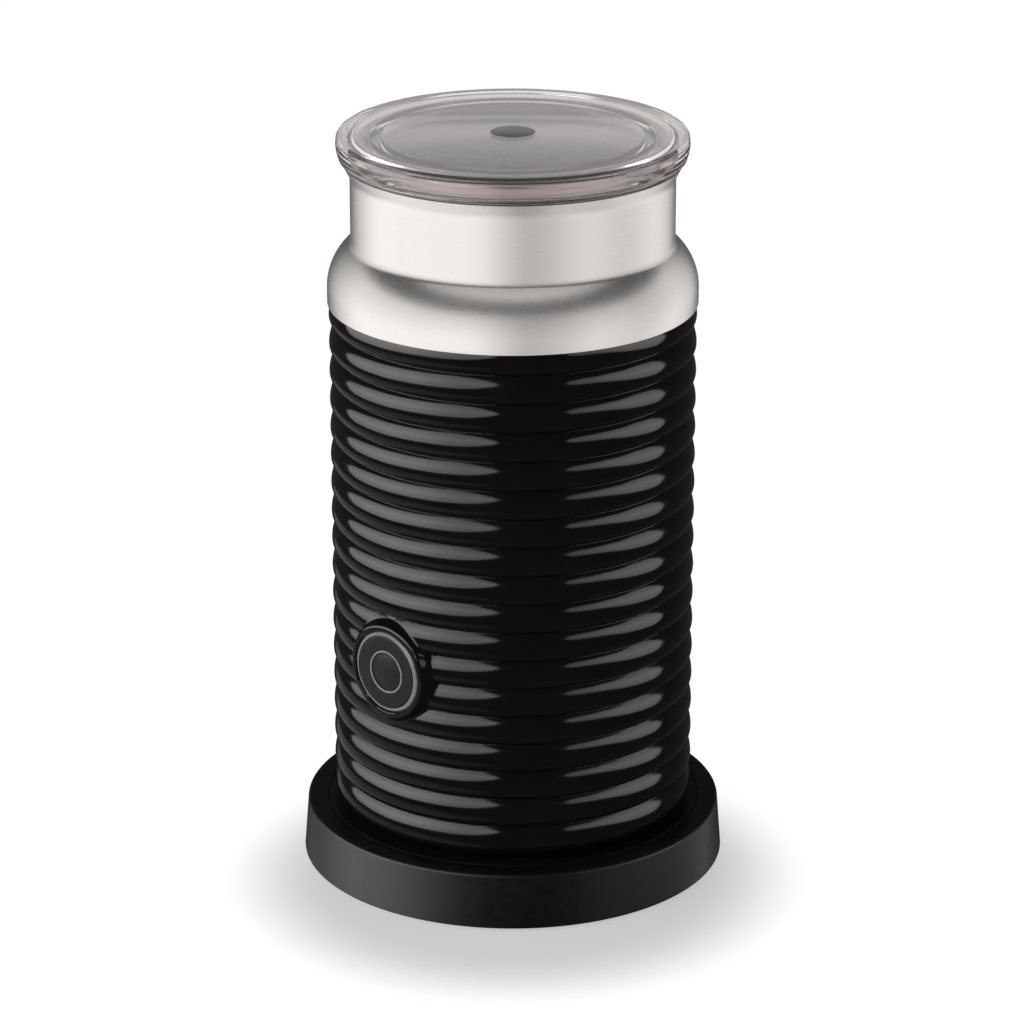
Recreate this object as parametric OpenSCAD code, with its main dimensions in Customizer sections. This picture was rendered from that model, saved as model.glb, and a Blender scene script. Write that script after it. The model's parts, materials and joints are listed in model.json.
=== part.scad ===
// Electric milk frother: a cordless ribbed jug with a magnetic whisk, on a round powered base.
// Millimetres. The origin is on the table, under the middle of the base. +Z is up and the
// push button faces -Y.

/* [Base] */
// Radius of the base at its lower edge
base_r = 50.35; // [50:0.05:52]
// Radius of the base at its upper edge
base_top_r = 49.3; // [48.8:0.05:49.6]
// Height of the base housing, without its feet
base_h = 13.1; // [13:0.1:14]
// Wall of the base housing
base_wall = 2.2; // [1.8:0.1:2.3]
// Height of the feet below the housing
foot_h = 0.8; // [0.6:0.1:1]
// Radius of the cord hole in the gland
cord_hole_r = 3.1; // [2.5:0.1:3.3]

/* [Jug] */
// Open gap between the base and the jug that stands on it
jug_gap = 0.5; // [0.4:0.1:1]
// Number of ribs round the sleeve
rib_count = 18; // [18:1:18]
// Height of one rib
rib_pitch = 6.88; // [6.86:0.01:6.9]
// Radius at the crest of a rib
rib_r = 42.75; // [42.5:0.05:43]
// Depth of the valleys between the ribs
rib_depth = 1.45; // [1:0.05:1.6]
// Inner radius of the sleeve
sleeve_inner_r = 39.8; // [39.7:0.05:40]

/* [Steel] */
// Radius of the collar at its lower edge
collar_r = 43.06; // [42.9:0.02:43.3]
// Sheet thickness of the collar
collar_t = 0.7; // [0.5:0.05:0.75]
// Radius of the collar's neck
neck_r = 37.5; // [37.4:0.05:37.6]
// Radius of the convex shoulder below the neck
shoulder_r = 13.28; // [12.5:0.02:14]
// Radius of the fillet between shoulder and neck
shoulder_fillet = 3.4; // [3:0.1:4]
// Inner radius of the milk vessel
vessel_r = 35.8; // [35.6:0.05:35.9]
// Sheet thickness of the milk vessel
vessel_t = 0.8; // [0.6:0.05:0.85]
// Height of the vessel's inside floor above the table
vessel_floor_z = 82; // [82:0.5:82]
// Radius between the vessel's floor and its wall
vessel_corner_r = 6; // [4:0.5:6]

/* [Lid] */
// Largest radius of the lid
lid_r = 40.66; // [40.5:0.02:41]
// Height of the lid's flat top above the table
lid_top_z = 177.8; // [177.4:0.1:178.2]
// Thickness of the lid's top plate
lid_t = 2.2; // [1.8:0.1:2.5]
// Outer radius of the lid's skirt
skirt_r = 32.6; // [32.4:0.1:32.8]
// Thickness of the lid's skirt
skirt_t = 2.6; // [1.5:0.1:3]

/* [Button] */
// Height of the button's centre above the table
button_z = 57.5; // [57:0.1:58.5]
// Radius of the pressed button disc
button_r = 8.7; // [8.55:0.05:8.7]
// Distance of the button's face from the jug's axis
button_face = 43.5; // [43.4:0.1:44.2]

/* [Whisk] */
// Radius of the ring that carries the whisk's coil
whisk_ring_r = 17; // [16:0.5:18]
// Turns of the coil round the whisk
whisk_turns = 24; // [20:4:28]
// Radius of one turn of the coil
whisk_turn_r = 2.6; // [2.4:0.1:2.8]

/* [Hidden] */
$fn = 96;
slack = 0.05;                                   // radial play of a screw or a pin in its hole

// Levels of the base
base_top_z = foot_h + base_h;
base_under_z = base_top_z - base_wall;
cover_z = foot_h + 0.2;                         // underside of the base's bottom cover
cover_t = 2;
cover_r = base_r - base_wall - 0.25;
base_edge_r = 0.9;                              // rounding of the base's upper edge
base_screw_ring = 38;
boss_bite = 0.8;                                // how far a screw boss runs into its plate
foot_ring = 39;
foot_r = 5;
foot_peg_r = 2;
gland_z = 7.3;
gland_r = 4;
gland_in_y = 44.8;
gland_out_y = 49.6;

// Round power connector between base and jug: radii of its pin and of its two contact rings
hub_r = 16;
hub_play = 0.4;
hub_flange = 4;
hub_top_z = base_top_z + 10.1;
hub_floor_z = 10;
pin_hole_r = 2.9;
slot_w = 2;
slot_in_r = [6, 11];
contact_t = 0.4;
contact_w = 3;
inlet_r = 18.2;
inlet_in_r = 16.6;
inlet_z = base_top_z + 1.1;
inlet_top_z = 28;
inlet_disc_t = 3;
pin_r = 2.3;
ring_t = 0.5;
ring_play = 0.6;
pin_tail = 1.2;                                 // length of the contacts' tails above the inlet

// Levels of the jug
jug_z = base_top_z + jug_gap;
rib_top_z = jug_z + rib_count * rib_pitch;
valley_r = rib_r - rib_depth;
rib_arc_r = (pow(rib_pitch / 2, 2) + pow(rib_depth, 2)) / (2 * rib_depth);
spigot_h = 3.3;                                 // the sleeve's plain end inside the collar
bottom_t = 2.2;
pocket_r = 18.6;
pocket_wall = 2;
pocket_top_z = 30;
ledge_r = sleeve_inner_r - 1;
ledge_h = 1.4;

// Levels and angles of the steel collar and of the flared mouth that vessel and collar share
collar_z = rib_top_z - 0.64;
shoulder_z = collar_z + 3.7;
shoulder_c = [collar_r - shoulder_r, shoulder_z];
fillet_dr = neck_r + shoulder_fillet - shoulder_c[0];
fillet_dz = sqrt(pow(shoulder_r + shoulder_fillet, 2) - pow(fillet_dr, 2));
fillet_c = [neck_r + shoulder_fillet, shoulder_z + fillet_dz];
shoulder_a = atan2(fillet_dz, fillet_dr);
flare_z = 167;
flare_r = 4;
flare_a = 27;
flare_c = [neck_r + flare_r, flare_z];
lip_r = 0.6;
lip_c = [39, 172];

// Lid
rim_z = lip_c[1] + 0.2;                         // lower edge of the lid's rim
rim_in_r = lip_c[0] + lip_r + 0.15;
lid_rest_z = lip_c[1] + lip_r + 0.2;            // underside of the rim, above the steel lip
skirt_z = 165.6;
seal_z = 166.8;
seal_h = 4.6;
seal_t = 1.6;
seal_lips = [169.7, 167.5];                     // undersides of the seal's two lips
lid_edge_r = 1.5;
badge_r = 5.2;
badge_t = 0.5;

// Heater under the vessel
vessel_under_z = vessel_floor_z - vessel_t;
plate_t = 2.8;
plate_z = vessel_under_z - plate_t;
plate_in_r = 18;
plate_r = 29.6;
heater_ring_r = 21.6;
heater_tube_r = 2.6;
heater_gap_a = 32;                              // half the open angle of the element, about -Y
heater_pin_r = 1.2;
heater_pin_z = 70.5;
stud_ring = 27.2;
stud_r = 1.4;
thermostat_r = 5.2;
thermostat_h = 7.5;

// Chassis, and the motor that hangs under its shelf
shelf_z = 66;
shelf_t = 3;
shelf_r = 38.6;
shelf_top_z = shelf_z + shelf_t;
post_xy = 24;
post_r = 3.4;
screw_r = 1.3;
motor_r = 14;
motor_wall = 1;
motor_z = 38;
motor_boss_r = 4;
motor_screw_x = 8.5;
stator_r = 10.2;                                // bore between the two stator magnets
armature_r = 9.4;
winding_r = 7.6;
end_cap_z = 34;
shaft_r = 1.5;
shaft_play = 0.06;
bush_r = 3;
carrier_z = 71.5;
carrier_h = 8.5;
carrier_r = 15;
magnet_r = 3.2;
magnet_ring = 10;

// Circuit boards: the main one stands behind the motor, the small one behind the button
board_y = 22;
board_t = 1.6;
board_half_w = 20;
board_z = 20;
board_h = 42;
rail_play = 0.05;
wire_r = 0.9;
key_board_at = 31.4;                            // distance of the button's board from the axis
key_board_half = [13.6, 11];
key_screw_x = 11.6;
key_screw_r = 0.8;
lamp_ring = 7.6;                                // ring of the four small lamps under the light ring
guide_r = 9.6;
guide_in_r = 9.1;
guide_front = 41.2;
light_in_r = 8.8;
boss_r = 11.3;
boss_hole_r = 9.7;
boss_front = button_face - 0.1;
boss_edge_r = 0.7;
boss_root_r = sleeve_inner_r - 4;
inlay_r = [4.7, 5.15];
inlay_depth = 0.3;
dome_r = 20;                                    // curve of the button's domed middle
dome_edge_r = 4.5;
dome_at = button_face - inlay_depth - sqrt(dome_r * dome_r - dome_edge_r * dome_edge_r);
skirt_depth = 2.2;                              // length of the button's skirt inside its guide
skirt_bore_r = 7.6;
stem_r = 2.2;
stem_at = 37.25;                                // distance of the button's stem end from the axis
plunger_r = 1.7;
plunger_at = 35.6;
plunger_h = 1.6;
arm_h = 4;
arm_z = button_z - arm_h / 2;

// Whisk and its spindle
spindle_r = 1.6;
spindle_top_z = 97.6;
bush_out_r = 2.1;
hub_bore_r = 2.2;
whisk_z = vessel_floor_z + 1.4;
whisk_arm_z = 88;
whisk_arm_r = 0.7;
whisk_hub_r = 7;
whisk_neck_r = 3.6;
whisk_magnet_r = [2.8, 6.2];
whisk_magnet_h = 2.6;
coil_wire_r = 0.45;
coil_ring_r = whisk_ring_r - whisk_turn_r + coil_wire_r + whisk_arm_r + 0.05;

// Insulated leads inside the jug, each a run of points chosen by hand
heater_lead = [[11.45, -18.3, 70.5], [11.45, -18.3, 62], [17.5, -12, 58], [17.5, 10, 54], [14, 17, 50],
               [14, 22, 50]];
lead_routes = [
    heater_lead,
    [for (p = heater_lead) [-p[0], p[1], p[2]]],
    [[5, 18, 36], [5, 22, 36]],
    [[-5, 18, 36], [-5, 22, 36]],
    [[9, -31.4, 50.5], [9, -26, 50.5], [19, -18, 46], [19, 12, 42], [17, 18, 40], [17, 22, 40]]
];

// ---- shared shapes ----

function arc(c, r, a0, a1, n = 12) =
    [for (i = [0:n]) let (a = a0 + (a1 - a0) * i / n) [c[0] + r * cos(a), c[1] + r * sin(a)]];
function reversed(list) = [for (i = [len(list) - 1:-1:0]) list[i]];

// A closed profile between two paths, turned about Z
module turned(path_a, path_b = []) {
    rotate_extrude() polygon(concat(path_a, reversed(path_b)));
}

module tube(r_out, r_in, z, h) {
    translate([0, 0, z]) difference() {
        cylinder(r = r_out, h = h);
        translate([0, 0, -1]) cylinder(r = r_in, h = h + 2);
    }
}

module rod(r, z, h) {
    translate([0, 0, z]) cylinder(r = r, h = h);
}

module block(from, to) {
    translate(from) cube(to - from);
}

module around(n, r, first = 0) {
    for (i = [0:n - 1]) rotate(first + i * 360 / n) translate([r, 0, 0]) children();
}

module at_posts() {
    for (x = [-post_xy, post_xy], y = [-post_xy, post_xy]) translate([x, y, 0]) children();
}

// Turns a shape whose +Z is its outward axis so that it faces -Y at the button's height
module facing_front() {
    translate([0, 0, button_z]) rotate([90, 0, 0]) children();
}

// Pan-head screw with its head's top at z = 0, pointing up
module screw(length, head_r = 2.6, head_h = 1, r = screw_r) {
    rod(head_r, 0, head_h);
    rod(r, head_h, length);
}

// Round wire along a path: one ring of points at each of its corners, and flat ends
module wire(path, r, sides = 8) {
    last = len(path) - 1;
    function along(i) = let (t = path[min(i + 1, last)] - path[max(i - 1, 0)]) t / norm(t);
    function ring(i) = let (
        t = along(i), side = cross(t, [1, 0.1, 0.2]), u = side / norm(side), v = cross(t, u))
        [for (k = [0:sides - 1]) let (w = 360 * k / sides) path[i] + r * (u * cos(w) + v * sin(w))];
    polyhedron(
        [for (i = [0:last]) each ring(i)],
        concat(
            [for (i = [0:last - 1], k = [0:sides - 1]) let (m = (k + 1) % sides)
                each [[i * sides + k, i * sides + m, (i + 1) * sides + m],
                      [i * sides + k, (i + 1) * sides + m, (i + 1) * sides + k]]],
            [[for (k = [sides - 1:-1:0]) k], [for (k = [0:sides - 1]) last * sides + k]]));
}

// ---- base ----

module base_housing() {
    color([0.11, 0.11, 0.115]) difference() {
        union() {
            turned(
                concat([[base_r, foot_h]],
                       arc([base_top_r - base_edge_r, base_top_z - base_edge_r], base_edge_r, 0, 90, 6),
                       [[hub_r + hub_play, base_top_z]]),
                [[base_r - base_wall, foot_h], [base_top_r - base_wall, base_under_z],
                 [hub_r + hub_play, base_under_z]]);
            around(3, base_screw_ring, 30)
                rod(post_r, cover_z + cover_t, base_under_z + boss_bite - cover_z - cover_t);
        }
        around(3, base_screw_ring, 30) rod(screw_r + slack, 0, base_under_z - 0.5);
        translate([0, base_r - 8, gland_z]) rotate([-90, 0, 0]) cylinder(r = gland_r + slack, h = 10);
    }
}

module base_connector() {
    color([0.16, 0.16, 0.17]) difference() {
        union() {
            rod(hub_r, hub_floor_z, hub_top_z - hub_floor_z);
            rod(hub_r + hub_flange, hub_floor_z - 0.8, base_under_z - hub_floor_z + 0.8);
        }
        rod(pin_hole_r, hub_floor_z + 2, hub_top_z);
        for (r = slot_in_r) tube(r + slot_w, r, hub_floor_z + 2, hub_top_z);
        for (r = concat([pin_hole_r - slot_w], slot_in_r))
            translate([0, 0, -2]) contact_blade(r + slot_w, contact_t + 0.3, contact_w + 0.3, 16);
    }
}

// Upright spring blade that lies against the outer wall of a slot of radius r
module contact_blade(r, t, w, h) {
    translate([r - t - 0.15, -w / 2, hub_floor_z - 3.5]) cube([t, w, h]);
}

module base_contacts() {
    color("goldenrod") {
        contact_blade(pin_hole_r, contact_t - 0.15, 1.6, 13);
        for (r = slot_in_r) contact_blade(r + slot_w, contact_t, contact_w, 13);
    }
}

module base_bottom_cover() {
    color([0.13, 0.13, 0.135]) difference() {
        rod(cover_r, cover_z, cover_t);
        around(3, base_screw_ring, 30) {
            rod(screw_r + 0.2, 0, 5);
            rod(3, 0, cover_z + 1.1);
        }
        around(4, foot_ring, 45) rod(foot_peg_r, 0, 5);
    }
}

module base_feet() {
    color([0.2, 0.2, 0.2]) around(4, foot_ring, 45) {
        rod(foot_r, 0, cover_z);
        rod(foot_peg_r, cover_z, cover_t);
    }
}

module base_screws() {
    color("silver") around(3, base_screw_ring, 30) translate([0, 0, cover_z + 0.1]) screw(7);
}

module cord_gland() {
    color([0.15, 0.15, 0.15]) difference() {
        union() {
            block([-7, gland_in_y, cover_z + cover_t + slack], [7, 46.6, base_under_z - slack]);
            translate([0, gland_in_y, gland_z]) rotate([-90, 0, 0])
                cylinder(r = gland_r, h = gland_out_y - gland_in_y);
        }
        translate([0, gland_in_y - 1, gland_z]) rotate([-90, 0, 0]) cylinder(r = cord_hole_r, h = 10);
    }
}

// ---- inlet: the jug's half of the round connector ----

module jug_inlet() {
    color([0.22, 0.22, 0.23]) difference() {
        rod(inlet_r, inlet_z, inlet_top_z - inlet_z);
        rod(inlet_in_r, 0, inlet_top_z - inlet_disc_t);
        inlet_contacts();
    }
}

module inlet_contacts() {
    color("goldenrod") {
        rod(pin_r, inlet_z, inlet_top_z + pin_tail - inlet_z);
        for (r = slot_in_r) {
            in_r = r + ring_play;
            tube(in_r + ring_t, in_r, inlet_z + 1, inlet_top_z - 2.5 - inlet_z);
            block([in_r, -1.5, inlet_top_z - 2], [in_r + ring_t - 0.1, 1.5, inlet_top_z + pin_tail]);
        }
    }
}

// ---- jug: outer pieces ----

module ribbed_sleeve() {
    color([0.05, 0.05, 0.055]) difference() {
        union() {
            rotate_extrude() {
                translate([0, jug_z]) square([valley_r, rib_top_z + spigot_h - jug_z]);
                intersection() {
                    for (i = [0:rib_count - 1])
                        translate([rib_r - rib_arc_r, jug_z + (i + 0.5) * rib_pitch])
                            circle(r = rib_arc_r);
                    translate([valley_r - 1, jug_z]) square([rib_depth + 2, rib_top_z - jug_z]);
                }
            }
            facing_front() rotate_extrude() polygon(concat(
                [[0, boss_root_r], [boss_r, boss_root_r]],
                arc([boss_r - boss_edge_r, boss_front - boss_edge_r], boss_edge_r, 0, 90, 5),
                [[0, boss_front]]));
        }
        rod(ledge_r, 0, rib_top_z + 10);
        rod(sleeve_inner_r, 0, jug_z + bottom_t);
        rod(sleeve_inner_r, jug_z + bottom_t + ledge_h, rib_top_z);
        facing_front() rod(boss_hole_r, sleeve_inner_r - 10, 20);
    }
}

module sleeve_gasket() {
    color([0.5, 0.5, 0.5])
        tube(collar_r - collar_t, valley_r, rib_top_z + 0.4, spigot_h - 0.8);
}

function mouth(d, straight) = concat(
    arc(flare_c, flare_r + d, 180, 180 - flare_a, 6),
    [flare_c + (flare_r + d) * [-cos(flare_a), sin(flare_a)] + straight * [sin(flare_a), cos(flare_a)]]);

function collar_path(d) = concat(
    [[collar_r - d, collar_z]],
    arc(shoulder_c, shoulder_r - d, 0, shoulder_a, 24),
    arc(fillet_c, shoulder_fillet + d, 180 + shoulder_a, 180, 12),
    mouth(d, 2.6));

module steel_collar() {
    color([0.82, 0.81, 0.8]) turned(collar_path(0), collar_path(collar_t));
}

function vessel_path(r, z, corner, d) = concat(
    [[0, z]], arc([r - corner, z + corner], corner, -90, 0, 12), mouth(d, 3.2));

module milk_vessel() {
    out_r = vessel_r + vessel_t;
    color([0.7, 0.7, 0.7]) rotate_extrude() {
        polygon(concat(
            vessel_path(out_r, vessel_under_z, vessel_corner_r + vessel_t, neck_r - out_r),
            reversed(vessel_path(vessel_r, vessel_floor_z, vessel_corner_r, neck_r - vessel_r))));
        translate(lip_c) circle(r = lip_r);
    }
}

module whisk_spindle() {
    color("silver") {
        rod(5, vessel_floor_z, 1);
        rod(spindle_r, vessel_floor_z + 1, spindle_top_z - vessel_floor_z - 1);
    }
}

module jug_bottom_cover() {
    color([0.13, 0.13, 0.135]) difference() {
        union() {
            tube(sleeve_inner_r - 0.2, pocket_r, jug_z, bottom_t);
            tube(pocket_r + pocket_wall, pocket_r, jug_z, pocket_top_z - jug_z);
            tube(pocket_r + pocket_wall, 15, pocket_top_z - 1.7, 1.7);
        }
        at_posts() {
            rod(screw_r + 0.2, 0, 20);
            rod(3, 0, jug_z + 1.1);
        }
    }
}

module bottom_screws() {
    color("silver") at_posts() translate([0, 0, jug_z + 0.1]) screw(10);
}

// ---- jug: heater ----

module heat_plate() {
    color("lightgray") tube(plate_r, plate_in_r, plate_z, plate_t);
}

module heater_element() {
    color("dimgray") {
        rotate(heater_gap_a - 90) rotate_extrude(angle = 360 - 2 * heater_gap_a)
            translate([heater_ring_r, plate_z - heater_tube_r]) circle(r = heater_tube_r, $fn = 48);
        for (a = [-heater_gap_a, heater_gap_a])
            rotate(a - 90) translate([heater_ring_r, 0, 0])
                rod(heater_pin_r, heater_pin_z, plate_z - heater_tube_r - heater_pin_z);
    }
}

module thermostat() {
    color("ivory") translate([0, -23.6, 0]) {
        rod(thermostat_r, plate_z - thermostat_h + 2, thermostat_h - 2);
        rod(thermostat_r - 1.2, plate_z - thermostat_h, 2);
    }
}

module thermal_cutoff() {
    color("gold") translate([27, 5, plate_z - 2]) rotate([90, 0, 0]) {
        cylinder(r = 2, h = 10);
        translate([0, 0, -3]) cylinder(r = 0.5, h = 16, $fn = 24);
    }
}

module vessel_studs() {
    color("silver") around(3, stud_ring, 90) rod(stud_r, shelf_z - 3.4, plate_z - shelf_z + 3.4);
}

module stud_spacers() {
    color("white") around(3, stud_ring, 90)
        tube(stud_r * 2, stud_r + slack, shelf_top_z, plate_z - shelf_top_z);
}

module stud_nuts() {
    color("silver") around(3, stud_ring, 90) translate([0, 0, shelf_z - 2.6]) difference() {
        cylinder(r = 3.1, h = 2.6, $fn = 6);
        translate([0, 0, -1]) cylinder(r = stud_r + slack, h = 5);
    }
}

// ---- jug: chassis, motor and boards ----

module chassis() {
    color([0.85, 0.84, 0.8]) difference() {
        union() {
            rod(shelf_r, shelf_z, shelf_t);
            at_posts() rod(post_r, jug_z + bottom_t, shelf_z - jug_z - bottom_t + 1);
            for (side = [-1, 1]) {
                rail_x = side * (board_half_w + 0.5);
                translate([rail_x, board_y + board_t / 2, board_z])
                    translate([-1.5, -2, 0]) cube([3, 4, shelf_z - board_z + 1]);
                mirror([side < 0 ? 1 : 0, 0, 0]) {
                    block([10.5, -key_board_at, arm_z], [22, -27.4, arm_z + arm_h]);
                    block([19, -key_board_at, arm_z], [22, -23, arm_z + arm_h]);
                }
            }
        }
        at_posts() rod(screw_r + slack, 0, jug_z + 18);
        rod(motor_boss_r + 0.2, shelf_z - 1, 10);
        block([-key_board_half[0] - 1, -shelf_r - 1, shelf_z - 1],
              [key_board_half[0] + 1, 0.8 - key_board_at, shelf_top_z + 1]);
        for (x = [-motor_screw_x, motor_screw_x]) translate([x, 0, 0])
            rod(screw_r + slack, shelf_z - 1, 10);
        around(3, stud_ring, 90) rod(stud_r + slack, shelf_z - 1, 10);
        for (a = [-heater_gap_a, heater_gap_a])
            rotate(a - 90) translate([heater_ring_r, 0, 0]) rod(2, shelf_z - 1, 10);
        block([-board_half_w - rail_play, board_y - rail_play, board_z - 1],
              [board_half_w + rail_play, board_y + board_t + rail_play, board_z + board_h + rail_play]);
        for (x = [-key_screw_x, key_screw_x]) translate([x, -key_board_at - 1, button_z])
            rotate([-90, 0, 0]) cylinder(r = key_screw_r + slack, h = 4.6);
    }
}

module motor_can() {
    color("gray") difference() {
        union() {
            rod(motor_r, motor_z, shelf_z - motor_z);
            rod(motor_boss_r, shelf_z, shelf_t - 0.4);
        }
        rod(motor_r - motor_wall, motor_z - 1, shelf_z - 1.2 - motor_z + 1);
        rod(bush_r, shelf_z - 4, 20);
        for (x = [-motor_screw_x, motor_screw_x]) translate([x, 0, 0]) rod(screw_r, shelf_z - 2, 10);
    }
}

module motor_magnets() {
    color([0.25, 0.25, 0.27]) for (side = [0, 180]) rotate(side - 70) rotate_extrude(angle = 140)
        translate([stator_r, motor_z + 4]) square([motor_r - motor_wall - slack - stator_r, 20]);
}

module motor_end_cap() {
    color([0.9, 0.88, 0.8]) difference() {
        union() {
            rod(motor_r, end_cap_z, motor_z - end_cap_z);
            for (x = [-5, 5]) block([x - 1.2, 12, 35.7], [x + 1.2, 18, 36.3]);
        }
        rod(bush_r, end_cap_z + 1, 10);
    }
}

module motor_bushes() {
    color("peru") {
        tube(bush_r, shaft_r + shaft_play, shelf_z - 1.2, 3.6);
        tube(bush_r, shaft_r + shaft_play, end_cap_z + 1, motor_z - end_cap_z - 1);
    }
}

module motor_screws() {
    color("silver") for (x = [-motor_screw_x, motor_screw_x])
        translate([x, 0, shelf_top_z + 1.2]) mirror([0, 0, 1]) screw(4.2, 2.2, 1.2, screw_r - slack);
}

module control_board() {
    color([0.1, 0.35, 0.18])
        block([-board_half_w, board_y, board_z], [board_half_w, board_y + board_t, board_z + board_h]);
}

module board_components() {
    face_y = board_y + board_t;
    color([0.12, 0.12, 0.14]) {
        translate([-12, face_y + 5, 23]) cylinder(r = 5, h = 16);
        block([-3, face_y, 22], [12, 35, 38]);
        block([-2, face_y, 42], [14, 34, 56]);
        block([-14, face_y, 44], [-6, face_y + 1.6, 54]);
    }
}

module lead_wires() {
    color([0.75, 0.1, 0.1]) for (route = lead_routes) wire(route, wire_r);
}

// ---- jug: fixed pieces of the button ----

module button_guide() {
    color([0.2, 0.2, 0.2]) facing_front()
        tube(guide_r, guide_in_r, key_board_at + board_t, guide_front - key_board_at - board_t);
}

module button_light_ring() {
    color([0.75, 0.75, 0.76]) facing_front()
        tube(guide_r, light_in_r, guide_front, button_face + 0.1 - guide_front);
}

module button_board() {
    color([0.1, 0.35, 0.18]) difference() {
        facing_front() union() {
            block([-key_board_half[0], -key_board_half[1], key_board_at],
                  [key_board_half[0], key_board_half[1], key_board_at + board_t]);
            around(4, lamp_ring, 45)
                block([-0.8, -0.5, key_board_at], [0.8, 0.5, key_board_at + board_t + 0.8]);
        }
        for (x = [-key_screw_x, key_screw_x]) translate([x, -key_board_at - 3, button_z])
            rotate([-90, 0, 0]) cylinder(r = key_screw_r + slack, h = 6);
    }
}

module button_board_screws() {
    color("silver") facing_front() for (x = [-key_screw_x, key_screw_x])
        translate([x, 0, key_board_at + board_t + 1])
            mirror([0, 0, 1]) screw(4.6, 2 * key_screw_r, 1, key_screw_r);
}

module tact_switch() {
    color([0.3, 0.3, 0.3]) facing_front() difference() {
        block([-3, -3, key_board_at + board_t], [3, 3, plunger_at + 0.4]);
        rod(plunger_r + 0.1, plunger_at - 1, 5);
    }
}

// ---- rotor ----

module motor_shaft() {
    color("silver") rod(shaft_r, end_cap_z + 1.2, carrier_z + 4 - end_cap_z - 1.2);
}

module motor_armature() {
    color("darkorange") difference() {
        union() {
            rod(armature_r, motor_z + 5, 18);
            rod(winding_r, motor_z + 2.5, 23);
        }
        rod(shaft_r, motor_z, 30);
    }
}

module magnet_carrier() {
    color([0.9, 0.9, 0.88]) difference() {
        union() {
            rod(carrier_r, carrier_z + 3, carrier_h - 3);
            rod(4, carrier_z, carrier_h);
        }
        rod(shaft_r, carrier_z - 1, 5);
        around(4, magnet_ring) rod(magnet_r, carrier_z + carrier_h - 3, 5);
    }
}

module drive_magnets() {
    color("darkgray") around(4, magnet_ring) rod(magnet_r, carrier_z + carrier_h - 3, 3);
}

// ---- whisk ----

module whisk_bush() {
    color("ivory") tube(bush_out_r, spindle_r + slack, whisk_z - 0.1, 13);
}

module whisk_hub() {
    knob_z = whisk_z + 12;
    color([0.08, 0.08, 0.085]) difference() {
        rotate_extrude() polygon(concat(
            [[0, whisk_z], [whisk_hub_r - 0.4, whisk_z], [whisk_hub_r, whisk_z + 0.4]],
            arc([whisk_hub_r - 1.5, whisk_z + 7.5], 1.5, 0, 90, 5), [[whisk_neck_r, whisk_z + 10]],
            [[whisk_neck_r, knob_z + 5]], arc([whisk_neck_r - 1, knob_z + 7], 1.6, 0, 90, 5),
            [[0, knob_z + 8.6]]));
        rod(hub_bore_r, whisk_z - 1, spindle_top_z - whisk_z + 2);
        whisk_magnet();
        around(4, 4) translate([0, 0, whisk_arm_z]) rotate([0, 90, 0])
            cylinder(r = whisk_arm_r, h = 10, $fn = 32);
    }
}

module whisk_magnet() {
    color("darkgray") tube(whisk_magnet_r[1], whisk_magnet_r[0], whisk_z + 0.5, whisk_magnet_h);
}

module whisk_frame() {
    color("silver") {
        translate([0, 0, whisk_arm_z]) rotate_extrude()
            translate([whisk_ring_r, 0]) circle(r = whisk_arm_r, $fn = 32);
        around(4, 4) translate([0, 0, whisk_arm_z]) rotate([0, 90, 0])
            cylinder(r = whisk_arm_r, h = whisk_ring_r - 4, $fn = 32);
    }
}

// Endless coil: the wire winds round a circle of radius coil_ring_r
module whisk_coil() {
    steps = whisk_turns * 9;
    sides = 6;
    function spine(i) = let (
        a = 360 * i / steps, b = a * whisk_turns, r = coil_ring_r + whisk_turn_r * cos(b))
        [r * cos(a), r * sin(a), whisk_arm_z + whisk_turn_r * sin(b)];
    function ring(i) = let (
        t = spine(i + 1) - spine(i - 1), along = t / norm(t), a = 360 * i / steps,
        u0 = [cos(a), sin(a), 0] * cos(a * whisk_turns) + [0, 0, 1] * sin(a * whisk_turns),
        v = cross(along, u0) / norm(cross(along, u0)), u = cross(v, along))
        [for (k = [0:sides - 1]) let (w = 360 * k / sides)
            spine(i) + coil_wire_r * (u * cos(w) + v * sin(w))];
    points = [for (i = [0:steps - 1]) each ring(i)];
    faces = [for (i = [0:steps - 1], k = [0:sides - 1]) let (
        j = (i + 1) % steps, m = (k + 1) % sides)
        each [[i * sides + k, j * sides + k, j * sides + m],
              [i * sides + k, j * sides + m, i * sides + m]]];
    color("silver") polyhedron(points, faces);
}

// ---- lid ----

module lid_cover() {
    under = lid_top_z - lid_t;
    color([0.8, 0.78, 0.78, 0.5]) difference() {
        turned(concat(
            [[0, lid_top_z], [lid_r - lid_edge_r, lid_top_z]],
            arc([lid_r - lid_edge_r, lid_top_z - 2.4], lid_edge_r, 60, 0, 5),
            [[lid_r - 0.1, rim_z + 1.8], [lid_r - 0.7, rim_z],
             [rim_in_r, rim_z], [rim_in_r, lid_rest_z], [lid_r - 3, lid_rest_z], [lid_r - 4, under],
             [skirt_r, under], [skirt_r, skirt_z], [skirt_r - skirt_t, skirt_z],
             [skirt_r - skirt_t, under], [0, under]]));
        rod(badge_r, lid_top_z - badge_t, 5);
    }
}

module lid_seal() {
    body_r = skirt_r + seal_t;
    tip_r = vessel_r - 0.3;
    color([0.85, 0.85, 0.85, 0.6]) turned(concat(
        [[skirt_r, seal_z + seal_h], [body_r, seal_z + seal_h]],
        [for (z = seal_lips) each [[body_r, z + 1.1], [tip_r, z + 0.4], [tip_r, z], [body_r, z]]],
        [[body_r, seal_z], [skirt_r, seal_z]]));
}

module lid_badge() {
    color([0.2, 0.2, 0.2]) rod(badge_r, lid_top_z - badge_t, badge_t);
}

// ---- button ----

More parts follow.
